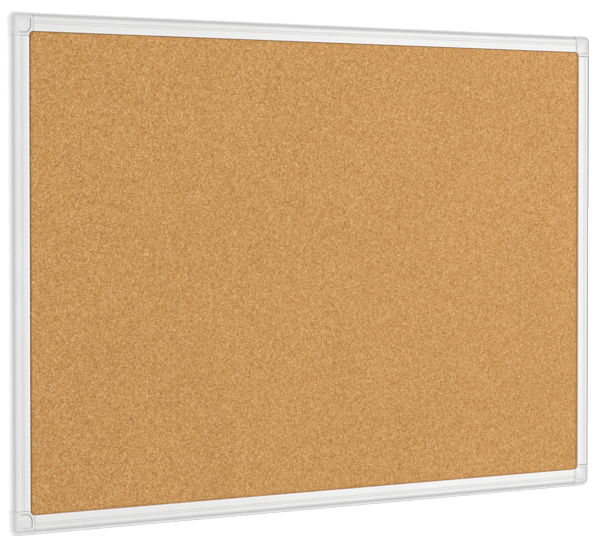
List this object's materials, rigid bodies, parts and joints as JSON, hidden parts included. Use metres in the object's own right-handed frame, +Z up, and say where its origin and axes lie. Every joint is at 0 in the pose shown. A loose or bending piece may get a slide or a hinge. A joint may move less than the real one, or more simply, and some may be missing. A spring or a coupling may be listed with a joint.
{
  "type": "cork bulletin board",
  "caption": "Landscape cork pin board in a slim anodised aluminium frame with plastic corner mouldings and pull-off caps over the wall screws.",
  "frame": {"origin": "centre of the four wall screw holes, on the back plane that lies against the wall", "axes": "+X to the right seen from the front, +Z up, and the cork faces -Y, so the wall is at +Y"},
  "size_m": [0.9, 0.012, 0.6],
  "materials": {
    "cork": "matte",
    "softboard": "matte",
    "backing": "matte",
    "anodised": "satin",
    "corner_plastic": "satin",
    "cap_plastic": "satin",
    "steel": "satin"
  },
  "bodies": {
    "board": {"cork_sheet": "cork", "softboard_core": "softboard", "backing_sheet": "backing", "rail_top": "anodised", "rail_bottom": "anodised", "rail_left": "anodised", "rail_right": "anodised", "corner_top_left": "corner_plastic", "corner_top_right": "corner_plastic", "corner_bottom_left": "corner_plastic", "corner_bottom_right": "corner_plastic", "corner_screws": "steel"},
    "cap_top_left": {"cap_top_left": "cap_plastic"},
    "cap_top_right": {"cap_top_right": "cap_plastic"},
    "cap_bottom_left": {"cap_bottom_left": "cap_plastic"},
    "cap_bottom_right": {"cap_bottom_right": "cap_plastic"}
  },
  "joints": [
    {"name": "cap_top_left_pull", "type": "slide", "parent": "board", "child": "cap_top_left", "axis": [0, -1, 0], "range_m": [0, 0.03]},
    {"name": "cap_top_right_pull", "type": "slide", "parent": "board", "child": "cap_top_right", "axis": [0, -1, 0], "range_m": [0, 0.03]},
    {"name": "cap_bottom_left_pull", "type": "slide", "parent": "board", "child": "cap_bottom_left", "axis": [0, -1, 0], "range_m": [0, 0.03]},
    {"name": "cap_bottom_right_pull", "type": "slide", "parent": "board", "child": "cap_bottom_right", "axis": [0, -1, 0], "range_m": [0, 0.03]}
  ]
}
